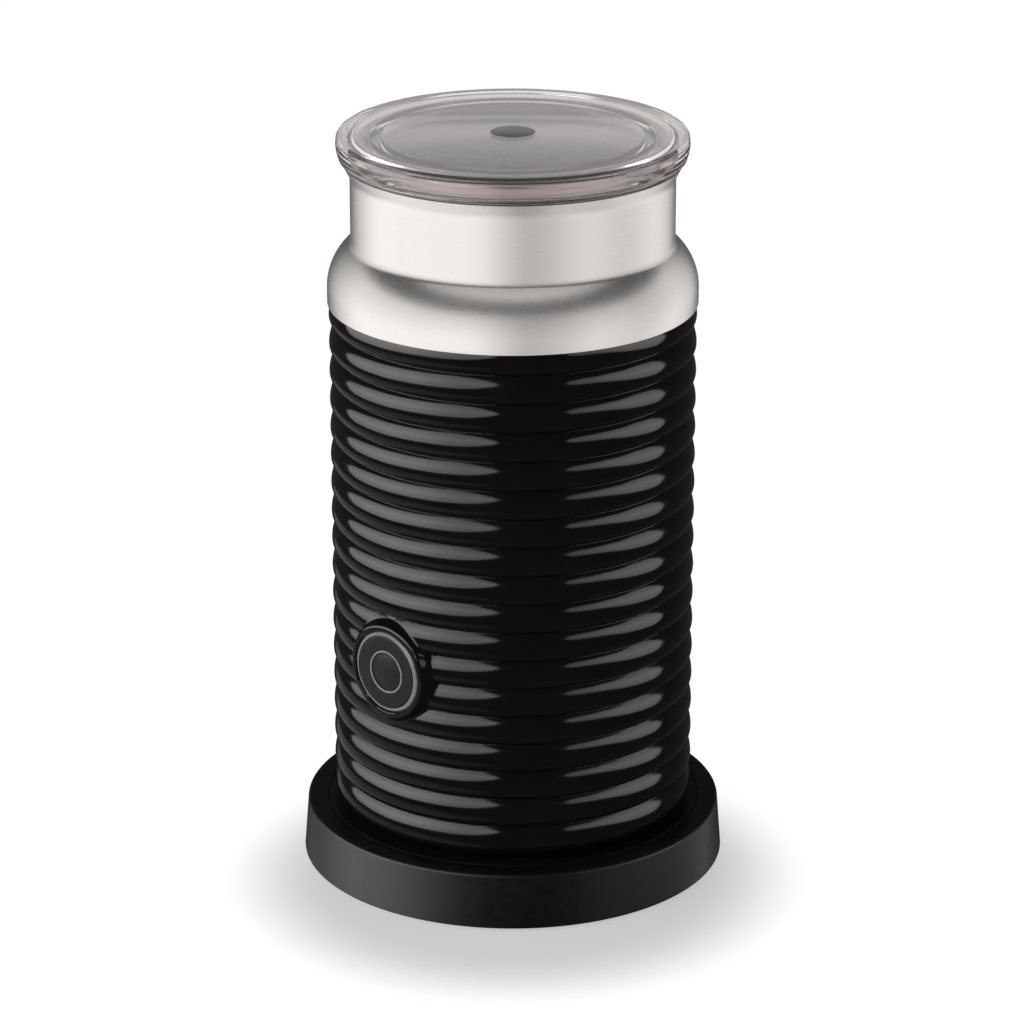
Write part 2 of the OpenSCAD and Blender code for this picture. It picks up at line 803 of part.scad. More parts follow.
module button_cap() {
    color([0.13, 0.13, 0.135]) facing_front() difference() {
        rotate_extrude() polygon(concat(arc([0, dome_at], dome_r, 90, acos(dome_edge_r / dome_r), 5), [
            [inlay_r[0] - 0.1, button_face],
            [button_r - 0.5, button_face], [button_r, button_face - 0.5],
            [button_r, guide_front - 0.1], [guide_in_r - 0.15, guide_front - 0.1],
            [guide_in_r - 0.15, guide_front - skirt_depth], [skirt_bore_r, guide_front - skirt_depth],
            [skirt_bore_r, guide_front + 1], [stem_r, guide_front + 1], [stem_r, stem_at], [0, stem_at]]));
        tube(inlay_r[1], inlay_r[0], button_face - inlay_depth, 2);
    }
}

module button_inlay() {
    color([0.7, 0.7, 0.7]) facing_front()
        tube(inlay_r[1], inlay_r[0], button_face - inlay_depth, inlay_depth + 0.05);
}

module switch_plunger() {
    color("white") facing_front() rod(plunger_r, plunger_at, plunger_h);
}

base_housing();
base_connector();
base_contacts();
base_bottom_cover();
base_feet();
base_screws();
cord_gland();
jug_inlet();
inlet_contacts();
ribbed_sleeve();
sleeve_gasket();
steel_collar();
milk_vessel();
whisk_spindle();
heat_plate();
heater_element();
thermostat();
thermal_cutoff();
vessel_studs();
stud_spacers();
stud_nuts();
chassis();
motor_can();
motor_magnets();
motor_end_cap();
motor_bushes();
motor_screws();
control_board();
board_components();
lead_wires();
jug_bottom_cover();
bottom_screws();
button_guide();
button_light_ring();
button_board();
button_board_screws();
tact_switch();
motor_shaft();
motor_armature();
magnet_carrier();
drive_magnets();
whisk_bush();
whisk_hub();
whisk_magnet();
whisk_frame();
whisk_coil();
lid_cover();
lid_seal();
lid_badge();
button_cap();
button_inlay();
switch_plunger();
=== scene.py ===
"""Looks of the electric milk frother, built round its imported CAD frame. Profiles are in millimetres."""
import json
import math

import bmesh
import bpy
import numpy as np
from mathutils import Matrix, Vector
from mathutils.geometry import delaunay_2d_cdt


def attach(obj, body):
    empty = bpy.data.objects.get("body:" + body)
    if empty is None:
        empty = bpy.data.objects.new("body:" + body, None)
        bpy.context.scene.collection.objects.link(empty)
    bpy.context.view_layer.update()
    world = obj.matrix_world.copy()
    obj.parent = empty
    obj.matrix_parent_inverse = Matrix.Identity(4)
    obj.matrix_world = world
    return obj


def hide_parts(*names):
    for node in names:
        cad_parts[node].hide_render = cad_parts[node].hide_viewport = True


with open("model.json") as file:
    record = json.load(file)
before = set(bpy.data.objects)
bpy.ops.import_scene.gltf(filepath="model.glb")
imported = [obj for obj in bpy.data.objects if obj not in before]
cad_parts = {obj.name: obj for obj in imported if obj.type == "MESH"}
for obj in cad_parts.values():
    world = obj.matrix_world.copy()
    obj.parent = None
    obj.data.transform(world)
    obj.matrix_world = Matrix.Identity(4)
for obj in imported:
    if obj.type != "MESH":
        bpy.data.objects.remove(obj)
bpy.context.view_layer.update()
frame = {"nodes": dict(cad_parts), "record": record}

MM = 0.001
ROUND = 240                                     # segments of a large turned piece
SHARP = math.radians(32)

# The ribbed sleeve: a groove lies RIB_RISE above each crest, and the next crest RIB_FALL above that groove
JUG_Z, RIB_PITCH, RIB_COUNT, RIB_R = 14.4, 6.88, 18, 42.75
RIB_RISE, RIB_DEPTH, TOP_RISE = 4.6, 1.45, 3.6
RIB_FALL = RIB_PITCH - RIB_RISE
FIRST_CREST = JUG_Z + RIB_PITCH / 2
TOP_CREST = FIRST_CREST + (RIB_COUNT - 1) * RIB_PITCH
SPIGOT_R, SPIGOT_TOP = 41.3, 141.5              # the neck of the sleeve inside the collar
SLEEVE_IN_R, LEDGE_R, LEDGE_LOW, LEDGE_TOP = 39.8, 38.8, 16.6, 18.0
WINDOW_LOW, WINDOW_TOP = 42.0, 76.0             # the inner wall is one band between these, round the button

# The button and the boss round it
BUTTON_Z, BUTTON_FACE, BUTTON_R = 57.5, 43.5, 8.7
BOSS_FRONT, BOSS_R, BOSS_HOLE_R, BOSS_EDGE = 43.4, 11.5, 9.7, 1.0
BOSS_BLEND, FLANK = 2.6, 3.2                    # width of the blend into the ribs, and the flank's slope
HOLE_CHAMFER = 0.3
PATCH_COLUMNS = 17                              # columns to each side of the button that the patch replaces

# The collar, and the flared mouth that it shares with the milk vessel
NECK_R, SHOULDER, SHOULDER_R, FILLET_R = 37.5, (29.78, 141.3), 13.28, 2.0
FLARE, FLARE_R, FLARE_TURN = (41.5, 167.0), 4.0, 27.0
SHEET = 0.7
VESSEL_CORNER, VESSEL_CORNER_R = (29.8, 88.0), 6.0
LIP, LIP_R = (39.0, 172.0), 0.6

# The lid, the base and the whisk's coil
LID_TOP, LID_UNDER, LID_RIM, SKIRT_LOW, SKIRT_R, SKIRT_IN_R = 177.8, 175.6, 172.2, 165.6, 32.6, 30.0
SEAL_LOW, SEAL_TOP, SEAL_R, SEAL_FIN_R = 166.8, 171.4, 34.2, 35.5
DISC_R, DISC_DEPTH = 5.15, 0.48
BASE_TOP, BASE_UNDER, BASE_FOOT, BASE_HOLE_R = 13.9, 11.7, 0.65, 16.6
COIL_TURNS, COIL_STEPS, COIL_R, COIL_TURN_R, COIL_Z, COIL_WIRE_R = 24, 20, 15.6, 2.6, 88.0, 0.45


# ---- profiles ----

def arc(cx, cz, r, a0, a1, n=8):
    """Points on a circle from angle a0 to a1, in degrees."""
    return [(cx + r * math.cos(math.radians(a0 + (a1 - a0) * i / n)),
             cz + r * math.sin(math.radians(a0 + (a1 - a0) * i / n))) for i in range(n + 1)]


def rounded(points, n=4):
    """A closed outline of (x, z) or (x, z, radius): each corner with a radius becomes an arc of n steps."""
    out = []
    for i, p in enumerate(points):
        if len(p) == 2 or p[2] <= 0:
            out.append((p[0], p[1]))
            continue
        c = Vector(p[:2])
        a, b = Vector(points[i - 1][:2]) - c, Vector(points[(i + 1) % len(points)][:2]) - c
        half = a.angle(b) / 2
        if half > math.radians(88):
            out.append((p[0], p[1]))
            continue
        reach = min(p[2] / math.tan(half), 0.48 * a.length, 0.48 * b.length)
        r = reach * math.tan(half)
        centre = c + (a.normalized() + b.normalized()).normalized() * (r / math.sin(half))
        start, end = c + a.normalized() * reach - centre, c + b.normalized() * reach - centre
        turn = start.angle_signed(end)
        for k in range(n + 1):
            t = -turn * k / n
            out.append((centre.x + start.x * math.cos(t) - start.y * math.sin(t),
                        centre.y + start.x * math.sin(t) + start.y * math.cos(t)))
    return out


# ---- meshes ----

def mesh_object(name, verts, faces, sharp=SHARP, smooth=True):
    """A mesh from points in millimetres, with outward normals and edges sharp above an angle."""
    mesh = bpy.data.meshes.new(name)
    mesh.from_pydata([(x * MM, y * MM, z * MM) for x, y, z in verts], [], faces)
    mesh.validate()
    bm = bmesh.new()
    bm.from_mesh(mesh)
    bmesh.ops.remove_doubles(bm, verts=bm.verts, dist=1e-7)
    bmesh.ops.recalc_face_normals(bm, faces=bm.faces)
    bm.to_mesh(mesh)
    bm.free()
    mesh.polygons.foreach_set("use_smooth", [smooth] * len(mesh.polygons))
    if smooth:
        mesh.set_sharp_from_angle(angle=sharp)
    obj = bpy.data.objects.new(name, mesh)
    bpy.context.scene.collection.objects.link(obj)
    return obj


def lathe_data(profile, segments, facing=None):
    """Vertices and faces of a closed profile turned about Z, or about the button's axis."""
    verts, faces, rings = [], [], []
    for r, z in profile:
        if abs(r) < 1e-6:
            rings.append([len(verts)])
            verts.append((0, 0, z))
            continue
        rings.append(list(range(len(verts), len(verts) + segments)))
        for i in range(segments):
            a = 2 * math.pi * i / segments
            verts.append((r * math.cos(a), r * math.sin(a), z))
    for k, low in enumerate(rings):
        high = rings[(k + 1) % len(rings)]
        if len(low) == 1 and len(high) == 1:
            continue
        for i in range(segments):
            j = (i + 1) % segments
            if len(low) == 1:
                faces.append((low[0], high[j], high[i]))
            elif len(high) == 1:
                faces.append((low[i], low[j], high[0]))
            else:
                faces.append((low[i], low[j], high[j], high[i]))
    if facing == "front":
        verts = [(x, -z, y + BUTTON_Z) for x, y, z in verts]
    return verts, faces


def lathe(name, profile, segments=ROUND, facing=None, sharp=SHARP):
    return mesh_object(name, *lathe_data(profile, segments, facing), sharp=sharp)


def closed_wire(name, path, radius, sides=8):
    """A round wire along a closed path of points in millimetres."""
    verts, faces = [], []
    n = len(path)
    normal = None
    for i, p in enumerate(path):
        p = Vector(p)
        along = (Vector(path[(i + 1) % n]) - Vector(path[i - 1])).normalized()
        if normal is None:
            normal = along.orthogonal().normalized()
        normal = (normal - along * normal.dot(along)).normalized()
        side = along.cross(normal)
        for k in range(sides):
            a = 2 * math.pi * k / sides
            verts.append(tuple(p + radius * (normal * math.cos(a) + side * math.sin(a))))
    for i in range(n):
        j = (i + 1) % n
        for k in range(sides):
            m = (k + 1) % sides
            faces.append((i * sides + k, i * sides + m, j * sides + m, j * sides + k))
    return mesh_object(name, verts, faces)


# ---- the ribbed sleeve ----

def rib_radius(z):
    """Radius of the ribbed surface at height z: one arc above each crest, and a rounder one below."""
    if z < FIRST_CREST - RIB_FALL:
        return RIB_R - RIB_DEPTH
    h = z - TOP_CREST if z > TOP_CREST else (z - FIRST_CREST + RIB_FALL) % RIB_PITCH - RIB_FALL
    reach = RIB_RISE if h > 0 else RIB_FALL
    arc_r = (reach ** 2 + RIB_DEPTH ** 2) / (2 * RIB_DEPTH)
    r = RIB_R - arc_r + math.sqrt(max(arc_r ** 2 - h ** 2, 0))
    return max(r, SPIGOT_R) if z > TOP_CREST else r


def boss_front(rho):
    """How far forward the button's boss reaches at a distance rho from its axis."""
    flat = BOSS_R - BOSS_EDGE
    if rho <= flat:
        return BOSS_FRONT - max(BOSS_HOLE_R + HOLE_CHAMFER - rho, 0)
    drop = math.atan(FLANK)
    limit = flat + BOSS_EDGE * math.sin(drop)
    if rho <= limit:
        return BOSS_FRONT - BOSS_EDGE + math.sqrt(max(BOSS_EDGE ** 2 - (rho - flat) ** 2, 0))
    return BOSS_FRONT - BOSS_EDGE + BOSS_EDGE * math.cos(drop) - FLANK * (rho - limit)


def front_depth(x, z):
    """Distance in front of the axis of the sleeve's outer surface, with the boss blended in."""
    rib = math.sqrt(max(rib_radius(z) ** 2 - x * x, 0))
    boss = boss_front(math.hypot(x, z - BUTTON_Z))
    return max(rib, boss) + (max(BOSS_BLEND - abs(rib - boss), 0) ** 2) / (4 * BOSS_BLEND)


def boss_rings():
    """Radii of the rings of points round the button's hole: close together over the boss's edge."""
    flat, chamfer_end = BOSS_R - BOSS_EDGE, BOSS_HOLE_R + HOLE_CHAMFER
    turn = math.atan(FLANK)
    edge = [flat + BOSS_EDGE * math.sin(turn * i / 9) for i in range(10)]
    flank = [edge[-1] + 0.11 * i for i in range(1, 12)] + [edge[-1] + 1.4, edge[-1] + 1.7]
    return [BOSS_HOLE_R, chamfer_end, (chamfer_end + flat) / 2] + edge + flank


def sleeve_rows():
    """Heights of the sleeve's rows, each with its radius."""
    below, above = 7, 9                         # rows below and above each crest
    rows = [(40.3, JUG_Z), (40.8, JUG_Z + 0.45)]
    for k in range(RIB_COUNT):
        crest = FIRST_CREST + k * RIB_PITCH
        rise = RIB_RISE if k < RIB_COUNT - 1 else TOP_RISE
        steps = [-RIB_FALL * math.sin(math.pi / 2 * (1 - i / below)) for i in range(below)]
        steps += [rise * i / above for i in range(above)]
        steps[0] += 1e-6                        # on this rib's side of the groove
        rows += [(rib_radius(crest + h), crest + h) for h in steps]
    top = rows[-1][1]
    rows += [(SPIGOT_R, top + 0.5), (SPIGOT_R, SPIGOT_TOP - 0.3), (SPIGOT_R - 0.3, SPIGOT_TOP)]
    return rows


def ribbed_sleeve():
    """The sleeve as a turned grid, with a patch of triangles that carries the boss and the button's hole."""
    columns, half = ROUND, PATCH_COLUMNS
    rows = sleeve_rows()
    first = columns * 3 // 4                    # the column that faces -Y
    angle = [2 * math.pi * i / columns for i in range(columns)]
    verts, faces = [], []
    inner = [(SLEEVE_IN_R + 0.3, SPIGOT_TOP), (SLEEVE_IN_R, SPIGOT_TOP - 0.4), (SLEEVE_IN_R, WINDOW_TOP),
             (SLEEVE_IN_R, WINDOW_LOW), (SLEEVE_IN_R, LEDGE_TOP), (LEDGE_R, LEDGE_TOP), (LEDGE_R, LEDGE_LOW),
             (SLEEVE_IN_R, LEDGE_LOW), (SLEEVE_IN_R, JUG_Z)]
    loops = rows + inner
    grid = []
    for r, z in loops:
        grid.append(range(len(verts), len(verts) + columns))
        verts += [(r * math.cos(a), r * math.sin(a), z) for a in angle]
    rings = boss_rings()
    keep = rings[-1] + 0.2                      # the grid's own points stay outside this radius
    edge_height = keep + 0.6
    low_row = max(i for i, (_, z) in enumerate(rows) if z < BUTTON_Z - edge_height)
    high_row = min(i for i, (_, z) in enumerate(rows) if z > BUTTON_Z + edge_height)
    in_high, in_low = len(rows) + 2, len(rows) + 3
    for k in range(len(loops)):
        m = (k + 1) % len(loops)
        for i in range(columns):
            j = (i + 1) % columns
            near = (i - first + half) % columns < 2 * half
            if near and (low_row <= k < high_row or k == in_high):
                continue
            faces.append((grid[k][i], grid[k][j], grid[m][j], grid[m][i]))
    span = [(first - half + c) % columns for c in range(2 * half + 1)]

    def patch(row_list, keep_r, rings, depth):
        """Fills the gap in the grid round the button's hole, and returns the hole's vertices.
        depth(x, z) is how far the surface lies in front of the jug's axis."""
        edge = [grid[row_list[0]][c] for c in span] + [grid[k][span[-1]] for k in row_list[1:]]
        edge += [grid[row_list[-1]][c] for c in reversed(span[:-1])]
        edge += [grid[k][span[0]] for k in reversed(row_list[1:-1])]
        ids, points = list(edge), [(verts[v][0], verts[v][2]) for v in edge]
        count = len(edge)
        fixed = [(i, (i + 1) % count) for i in range(count)]
        side = sorted((verts[grid[k][span[-1]]][2], verts[grid[k][span[-1]]][0]) for k in row_list)
        side_z, side_x = zip(*side)
        for k in row_list[1:-1]:
            before = None
            for c in span[1:-1]:
                v = grid[k][c]
                x, z = verts[v][0], verts[v][2]
                if math.hypot(x, z - BUTTON_Z) < keep_r:
                    before = None
                    continue
                ids.append(v)
                points.append((x, z))
                if before is not None:
                    fixed.append((before, len(points) - 1))
                before = len(points) - 1
        hole = []
        for rho in rings:
            start = len(points)
            for i in range(ROUND):
                a = 2 * math.pi * i / ROUND
                x, z = rho * math.cos(a), BUTTON_Z + rho * math.sin(a)
                verts.append((x, -depth(x, z), z))
                ids.append(len(verts) - 1)
                points.append((x, z))
                fixed.append((start + i, start + (i + 1) % ROUND))
            hole = hole or ids[start:]
        flat, _, triangles, origins, _, _ = delaunay_2d_cdt(
            [Vector(p) for p in points], fixed, [], 0, 1e-5, True)
        origin = [ids[o[0]] if o else None for o in origins]
        for face in triangles:
            middle = sum((flat[v] for v in face), Vector((0, 0))) / len(face)
            in_hole = math.hypot(middle.x, middle.y - BUTTON_Z) < rings[0] - 0.02
            if in_hole or abs(middle.x) > np.interp(middle.y, side_z, side_x):
                continue
            faces.append(tuple(origin[v] for v in face))
        return hole

    front = patch(list(range(low_row, high_row + 1)), keep, rings, front_depth)
    back = patch([in_high, in_low], 0, [BOSS_HOLE_R],
                 lambda x, z: math.sqrt(SLEEVE_IN_R ** 2 - x * x))
    for i in range(len(front)):
        j = (i + 1) % len(front)
        faces.append((front[i], front[j], back[j], back[i]))
    return mesh_object("sleeve", verts, faces, sharp=math.radians(34))


# ---- materials ----

class Finish:
    """A Principled material whose colour, roughness and relief come from object-space nodes."""

    def __init__(self, name, colour, rough, metallic=0.0, **constants):
        self.mat = bpy.data.materials.new(name)
        self.mat.use_nodes = True
        self.tree = self.mat.node_tree
        self.shader = self.tree.nodes["Principled BSDF"]
        self.set("Base Color", (*colour, 1))
        self.set("Roughness", rough)
        self.set("Metallic", metallic)
        self.colour, self.rough = colour, rough
        for key, value in constants.items():
            self.set(key.replace("_", " "), value)
        self.coords = self.node("ShaderNodeTexCoord").outputs["Object"]

    def node(self, kind, **settings):
        n = self.tree.nodes.new(kind)
        for key, value in settings.items():
            setattr(n, key, value)
        return n

    def set(self, socket, value):
        self.shader.inputs[socket].default_value = value

    def link(self, a, b):
        self.tree.links.new(a, b)

    def noise(self, scale, stretch=(1, 1, 1), detail=3.0):
        """Noise in object space: scale is in cycles per metre."""
        mapping = self.node("ShaderNodeMapping")
        mapping.inputs["Scale"].default_value = stretch
        self.link(self.coords, mapping.inputs["Vector"])
        n = self.node("ShaderNodeTexNoise")
        n.inputs["Scale"].default_value = scale
        n.inputs["Detail"].default_value = detail
        self.link(mapping.outputs["Vector"], n.inputs["Vector"])
        return n.outputs["Fac"]

    def vary_rough(self, source, amount):
        n = self.node("ShaderNodeMapRange")
        for key, value in (("From Min", 0.3), ("From Max", 0.7),
                           ("To Min", self.rough - amount), ("To Max", self.rough + amount)):
            n.inputs[key].default_value = value
        self.link(source, n.inputs["Value"])
        self.link(n.outputs["Result"], self.shader.inputs["Roughness"])

    def vary_colour(self, source, other):
        ramp = self.node("ShaderNodeValToRGB")
        for element, position, colour in zip(ramp.color_ramp.elements, (0.35, 0.65), (self.colour, other)):
            element.position, element.color = position, (*colour, 1)
        self.link(source, ramp.inputs["Fac"])
        self.link(ramp.outputs["Color"], self.shader.inputs["Base Color"])

    def relief(self, source, depth):
        """Bump of a depth in metres."""
        n = self.node("ShaderNodeBump")
        n.inputs["Strength"].default_value = 1.0
        n.inputs["Distance"].default_value = depth
        self.link(source, n.inputs["Height"])
        self.link(n.outputs["Normal"], self.shader.inputs["Normal"])

    def grain(self, scale, depth, rough=0.03, tint=None):
        """Moulded or cast surface: one noise for relief, a broader one for roughness and colour."""
        self.relief(self.noise(scale), depth)
        wide = self.noise(scale / 9, detail=4)
        self.vary_rough(wide, rough)
        if tint:
            self.vary_colour(wide, tint)
        return self

    def turned(self, depth, rough=0.05, tint=None, pitch=9000, spread=0.04):
        """Fine lines round the Z axis, as brushing on a lathe leaves."""
        lines = self.noise(pitch, stretch=(spread, spread, 1), detail=4)
        self.relief(lines, depth)
        self.vary_rough(lines, rough)
        if tint:
            self.vary_colour(lines, tint)
        return self


def make_materials():
    """Every material slot of the record, by name."""
    m = {}
    m["gloss_black"] = Finish("gloss_black", (0.0028, 0.0028, 0.0032), 0.1, IOR=1.46).grain(
        900, 1e-6, 0.02, (0.0036, 0.0035, 0.0038))
    m["button_black"] = Finish("button_black", (0.008, 0.008, 0.0085), 0.34).grain(
        6000, 3e-6, 0.04, (0.01, 0.0098, 0.01))
    m["base_plastic"] = Finish("base_plastic", (0.003, 0.0028, 0.0028), 0.37, IOR=1.45).grain(
        3800, 1.2e-5, 0.04, (0.0045, 0.0042, 0.0042))
    m["dark_plastic"] = Finish("dark_plastic", (0.02, 0.02, 0.021), 0.42).grain(
        2500, 1.5e-5, 0.05, (0.028, 0.028, 0.029))
    m["light_ring"] = Finish("light_ring", (0.2, 0.195, 0.195), 0.28).grain(
        1500, 3e-6, 0.04, (0.25, 0.24, 0.24))
    m["badge"] = Finish("badge", (0.018, 0.016, 0.017), 0.34).grain(2500, 2e-6, 0.04, (0.024, 0.022, 0.023))
    m["clear_lid"] = Finish("clear_lid", (0.8, 0.765, 0.765), 0.035, IOR=1.49, Transmission_Weight=0.97).grain(
        60, 1e-6, 0.012, (0.83, 0.79, 0.79))
    m["clear_silicone"] = Finish("clear_silicone", (0.75, 0.74, 0.74), 0.4, IOR=1.41,
                                 Transmission_Weight=0.7).grain(1500, 6e-6, 0.06)
    m["brushed_steel"] = Finish("brushed_steel", (0.7, 0.685, 0.675), 0.3, 1.0, Anisotropic=0.6,
                                Anisotropic_Rotation=0.25).turned(1.2e-6, 0.035, (0.74, 0.725, 0.715))
    m["vessel_steel"] = Finish("vessel_steel", (0.62, 0.6, 0.59), 0.28, 1.0).turned(
        1.5e-6, 0.05, (0.7, 0.68, 0.67), pitch=7000)
    m["screw_steel"] = Finish("screw_steel", (0.5, 0.49, 0.48), 0.34, 1.0).grain(
        4000, 4e-6, 0.08, (0.62, 0.61, 0.6))
    m["motor_steel"] = Finish("motor_steel", (0.42, 0.42, 0.42), 0.38, 1.0).turned(
        3e-6, 0.08, (0.52, 0.52, 0.51), pitch=4000)
    m["aluminium"] = Finish("aluminium", (0.68, 0.68, 0.69), 0.45, 1.0).grain(
        1200, 2e-5, 0.08, (0.6, 0.6, 0.61))
    m["heater_sheath"] = Finish("heater_sheath", (0.16, 0.15, 0.14), 0.5, 0.7).grain(
        1500, 1e-5, 0.1, (0.24, 0.22, 0.2))
    m["brass"] = Finish("brass", (0.7, 0.5, 0.22), 0.3, 1.0).grain(2200, 5e-6, 0.08, (0.78, 0.58, 0.28))
    m["copper"] = Finish("copper", (0.55, 0.2, 0.08), 0.35, 0.9).turned(
        6e-5, 0.06, (0.68, 0.3, 0.12), pitch=1800, spread=0.02)
    m["magnet"] = Finish("magnet", (0.3, 0.3, 0.32), 0.42, 0.8).grain(2500, 8e-6, 0.1, (0.22, 0.22, 0.23))
    m["ceramic"] = Finish("ceramic", (0.78, 0.75, 0.68), 0.4).grain(1800, 8e-6, 0.06, (0.72, 0.69, 0.61))
    m["chassis_plastic"] = Finish("chassis_plastic", (0.68, 0.66, 0.6), 0.48).grain(
        1500, 1.5e-5, 0.06, (0.62, 0.6, 0.55))
    m["board"] = Finish("board", (0.02, 0.11, 0.045), 0.4).grain(700, 8e-6, 0.08, (0.035, 0.17, 0.07))
    m["wire_red"] = Finish("wire_red", (0.45, 0.02, 0.015), 0.4).grain(2500, 5e-6, 0.05, (0.52, 0.03, 0.02))
    m["foot_rubber"] = Finish("foot_rubber", (0.02, 0.02, 0.02), 0.75).grain(
        4500, 2.5e-5, 0.08, (0.03, 0.03, 0.03))
    steel = m["brushed_steel"]
    steel.link(steel.node("ShaderNodeTangent", direction_type="RADIAL", axis="Z").outputs["Tangent"],
               steel.shader.inputs["Tangent"])
    return {k: v.mat for k, v in m.items()}


materials = make_materials()


def dress(obj, body, slot, *nodes):
    """Gives a piece the material of its slot and its body, and hides the CAD nodes that it stands for."""
    obj.data.materials.clear()
    obj.data.materials.append(materials[slot])
    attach(obj, body)
    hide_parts(*nodes)
    return obj


# ---- carried-over CAD nodes ----

for part in frame["record"]["subparts"]:
    node = frame["nodes"][part["node"]]
    node.data.materials.clear()
    node.data.materials.append(materials[part["material_slot"]])


# ---- steel ----

def mouth(d, straight):
    """The flared mouth, d inside the collar's outer face, with a straight end of a given length."""
    bend = arc(*FLARE, FLARE_R + d, 180, 180 - FLARE_TURN, 10)
    lean = math.radians(FLARE_TURN)
    x, z = bend[-1]
    return bend + [(x + straight * math.sin(lean), z + straight * math.cos(lean))]


def collar():
    """Hem, round shoulder, fillet and flared neck, with the same path again as the inner face."""
    dx = NECK_R + FILLET_R - SHOULDER[0]
    dz = math.sqrt((SHOULDER_R + FILLET_R) ** 2 - dx ** 2)
    fillet = (SHOULDER[0] + dx, SHOULDER[1] + dz)
    turn = math.degrees(math.atan2(dz, dx))

    def path(d):
        return (arc(*SHOULDER, SHOULDER_R - d, 0, turn, 36)
                + arc(*fillet, FILLET_R + d, 180 + turn, 180, 18) + mouth(d, 2.6))
    hem = [(42.5, 137.75), (42.9, 137.75), (43.02, 137.85), (43.06, 138.0)]
    return lathe("collar", hem + path(0) + path(SHEET)[::-1] + [(42.36, 137.9)])


def vessel():
    """Deep-drawn cup, 0.8 mm thick, with a rolled lip."""
    (x, z), r = VESSEL_CORNER, VESSEL_CORNER_R
    inner = [(0, z - r)] + arc(x, z, r, -90, 0, 14) + mouth(1.7, 3.2)
    outer = [(0, z - r - 0.8)] + arc(x, z, r + 0.8, -90, 0, 14) + mouth(0.9, 2.75)
    lip = arc(*LIP, LIP_R, -150, 112, 22)
    return lathe("vessel", outer + lip + inner[::-1], sharp=math.radians(50))


dress(ribbed_sleeve(), "jug", "gloss_black", "ribbed_sleeve")
collar_piece = dress(collar(), "jug", "brushed_steel", "steel_collar")
vessel_piece = dress(vessel(), "jug", "vessel_steel", "milk_vessel")


# ---- lid ----

def lid():
    """Top plate with a rounded rim outside and a plug skirt inside."""
    points = [(0, LID_TOP), (40.0, LID_TOP, 0.5), (40.55, LID_TOP - 0.95, 0.6), (40.66, LID_TOP - 2.4, 0.6),
              (40.5, 174.0, 0.4), (39.95, LID_RIM, 0.12), (39.72, LID_RIM, 0.1), (39.72, LID_RIM + 0.6, 0.1),
              (37.66, LID_RIM + 0.6, 0.35), (36.66, LID_UNDER, 0.5), (SKIRT_R, LID_UNDER, 0.25),
              (SKIRT_R, SKIRT_LOW, 0.4), (SKIRT_IN_R, SKIRT_LOW, 0.4), (SKIRT_IN_R, LID_UNDER, 0.3),
              (0, LID_UNDER)]
    return lathe("lid", rounded(points, 5))


def lid_seal():
    """Sleeve round the lid's skirt, with two fins."""
    points = [(SKIRT_R + 0.02, SEAL_TOP), (SEAL_R, SEAL_TOP, 0.3)]
    for z in (169.7, 167.5):
        points += [(SEAL_R, z + 1.1, 0.3), (SEAL_FIN_R, z + 0.4, 0.16), (SEAL_FIN_R, z, 0.16), (SEAL_R, z, 0.3)]
    points += [(SEAL_R, SEAL_LOW, 0.3), (SKIRT_R + 0.02, SEAL_LOW)]
    return lathe("seal", rounded(points, 3))


def disc():
    top, low = LID_TOP + 0.02, LID_TOP - DISC_DEPTH
    return lathe("lid_disc", rounded([(0, top), (DISC_R, top, 0.12), (DISC_R, low), (0, low)], 3), 96)


lid_piece = dress(lid(), "lid", "clear_lid", "lid_cover")
lid_piece.visible_shadow = False
seal_piece = dress(lid_seal(), "lid", "clear_silicone", "lid_seal")
disc_piece = dress(disc(), "lid", "badge", "lid_badge")


# ---- base ----

def base_body():
    """Round housing, open below, with a fine groove in its top and a hole for the connector."""
    groove = BASE_TOP - 0.18
    points = [(50.35, BASE_FOOT, 0.25), (49.3, BASE_TOP, 0.95), (44.6, BASE_TOP, 0.15), (44.4, groove, 0.1),
              (44.2, groove, 0.1), (44.0, BASE_TOP, 0.15), (BASE_HOLE_R, BASE_TOP, 0.35),
              (BASE_HOLE_R, BASE_UNDER), (47.1, BASE_UNDER, 0.8), (48.15, BASE_FOOT, 0.2)]
    return lathe("base_body", rounded(points, 6))


base_piece = dress(base_body(), "base", "base_plastic", "base_housing")


# ---- button ----

def button_pieces():
    """The cap with its domed middle, the ring inlaid in it, and the lit ring round it. Depths are from the
    jug's axis."""
    face, low, dome_r, dome_edge = BUTTON_FACE, BUTTON_FACE - 0.3, 20.0, 4.5
    lean = math.degrees(math.asin(dome_edge / dome_r))
    cap = arc(0, low - dome_r * math.cos(math.radians(lean)), dome_r, 90, 90 - lean, 10)
    cap += [(4.72, low), (5.13, low), (5.16, face - 0.06), (5.24, face)]
    cap += arc(BUTTON_R - 0.35, face - 0.35, 0.35, 90, 0, 6)
    cap += [(BUTTON_R, 41.1), (8.95, 41.1), (8.95, 39.0), (7.6, 39.0), (7.6, 42.2), (2.2, 42.2), (2.2, 37.25),
            (0, 37.25)]
    ring = rounded([(4.72, low), (4.72, face + 0.05, 0.12), (5.12, face + 0.05, 0.12), (5.12, low)], 4)
    glow = rounded([(8.84, 41.2), (8.84, face + 0.1, 0.08), (9.05, face + 0.1, 0.1), (9.62, face - 0.4, 0.1),
                    (9.62, 41.2)], 5)
    dress(lathe("button_dish", cap, 128, "front"), "button", "button_black", "button_cap")
    dress(lathe("button_ring", ring, 128, "front"), "button", "light_ring", "button_inlay")
    dress(lathe("button_glow", glow, 128, "front"), "jug", "light_ring", "button_light_ring")


button_pieces()


# ---- whisk ----

